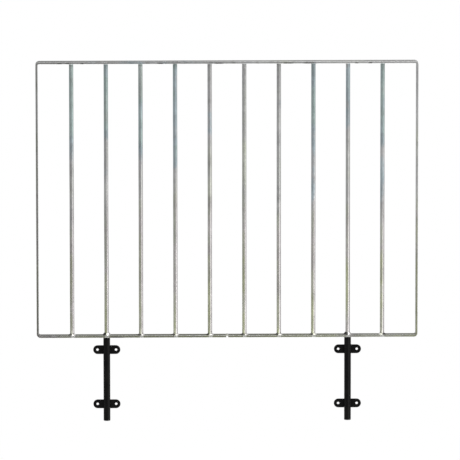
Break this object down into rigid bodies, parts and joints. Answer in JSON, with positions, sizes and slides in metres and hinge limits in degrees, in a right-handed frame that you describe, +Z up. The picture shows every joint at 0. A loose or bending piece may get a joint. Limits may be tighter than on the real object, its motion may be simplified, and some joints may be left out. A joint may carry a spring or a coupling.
{
  "type": "drop-in stable grille",
  "caption": "Flat-bar hoop with round upright bars, two of which run on as legs that stand loose in tubular sockets with screw straps for the face of a door.",
  "frame": {"origin": "centre of the whole screw pattern of the two sockets, on the face of the door that the straps lie against", "axes": "+Z up, along the bars; +X along the rails; +Y into the door, away from the sockets"},
  "size_m": [1.067, 0.025, 1.02],
  "materials": {
    "zinc_plate": "bright zinc plate, passivated, with a faint rainbow tint",
    "zinc_weld": "rippled weld bead under the same plate",
    "black_paint": "satin black paint",
    "black_weld": "weld bead under satin black paint"
  },
  "bodies": {
    "sockets": {"left_socket_tube": "black_paint", "left_upper_strap": "black_paint", "left_lower_strap": "black_paint", "left_strap_welds": "black_weld", "right_socket_tube": "black_paint", "right_upper_strap": "black_paint", "right_lower_strap": "black_paint", "right_strap_welds": "black_weld"},
    "grille": {"frame_hoop": "zinc_plate", "frame_joint_weld": "zinc_weld", "short_bar_1": "zinc_plate", "short_bar_2": "zinc_plate", "short_bar_3": "zinc_plate", "short_bar_4": "zinc_plate", "short_bar_5": "zinc_plate", "short_bar_6": "zinc_plate", "short_bar_7": "zinc_plate", "short_bar_8": "zinc_plate", "left_leg_bar": "zinc_plate", "right_leg_bar": "zinc_plate", "bar_top_welds": "zinc_weld", "bar_foot_welds": "zinc_weld", "leg_bar_welds": "zinc_weld"}
  },
  "joints": [
    {"name": "lift_out", "type": "slide", "parent": "sockets", "child": "grille", "axis": [0, 0, 1], "range_m": [0, 0.21]}
  ]
}
